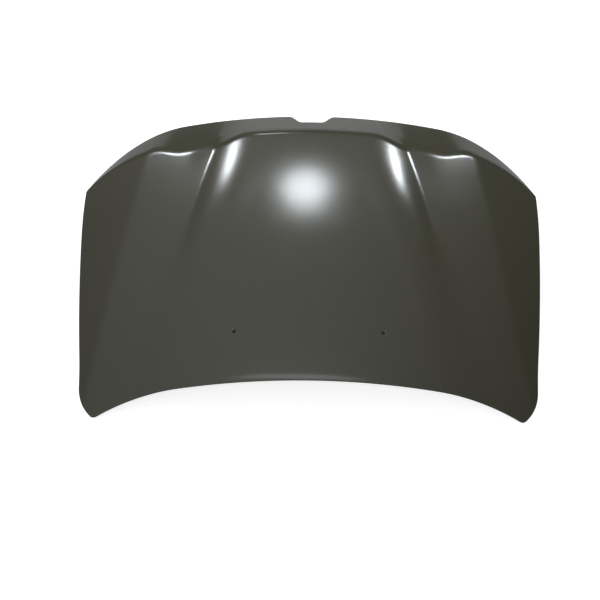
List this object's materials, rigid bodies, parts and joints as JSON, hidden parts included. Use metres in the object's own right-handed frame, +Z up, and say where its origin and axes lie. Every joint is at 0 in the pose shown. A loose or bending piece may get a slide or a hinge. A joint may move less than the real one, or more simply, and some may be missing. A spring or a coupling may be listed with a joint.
{
  "type": "car bonnet",
  "caption": "Pressed-steel car bonnet in dark primer: crowned skin with a raised centre, grille lip and notch, hemmed round an inner panel with box beams and open bays.",
  "frame": {"origin": "on the surface that the bonnet lies on, under the middle of its outline", "axes": "+X to the car's right, +Y to the front of the car, +Z up, skin side up"},
  "size_m": [1.472, 0.9976, 0.1484],
  "materials": {
    "coat": "satin electrocoat primer, dark olive grey",
    "coat_inside": "satin to matt electrocoat primer, dark olive grey",
    "mastic": "matt cured mastic, near black"
  },
  "bodies": {
    "root": {"outer_panel": "coat", "inner_panel": "coat_inside", "hinge_reinforcement_left": "coat_inside", "hinge_reinforcement_right": "coat_inside", "hinge_weld_nut_left_front": "coat_inside", "hinge_weld_nut_left_rear": "coat_inside", "hinge_weld_nut_right_front": "coat_inside", "hinge_weld_nut_right_rear": "coat_inside", "latch_reinforcement": "coat_inside", "striker_base": "coat_inside", "striker_loop": "coat_inside", "mastic_dab_1": "mastic", "mastic_dab_2": "mastic", "mastic_dab_3": "mastic", "mastic_dab_4": "mastic", "mastic_dab_5": "mastic", "mastic_dab_6": "mastic", "mastic_dab_7": "mastic", "mastic_dab_8": "mastic", "mastic_dab_9": "mastic", "mastic_dab_10": "mastic", "mastic_dab_11": "mastic", "mastic_dab_12": "mastic", "mastic_dab_13": "mastic", "mastic_dab_14": "mastic", "mastic_dab_15": "mastic", "mastic_dab_16": "mastic", "mastic_dab_17": "mastic", "mastic_dab_18": "mastic", "mastic_dab_19": "mastic", "mastic_dab_20": "mastic", "mastic_dab_21": "mastic", "mastic_dab_22": "mastic", "mastic_dab_23": "mastic"}
  },
  "joints": []
}
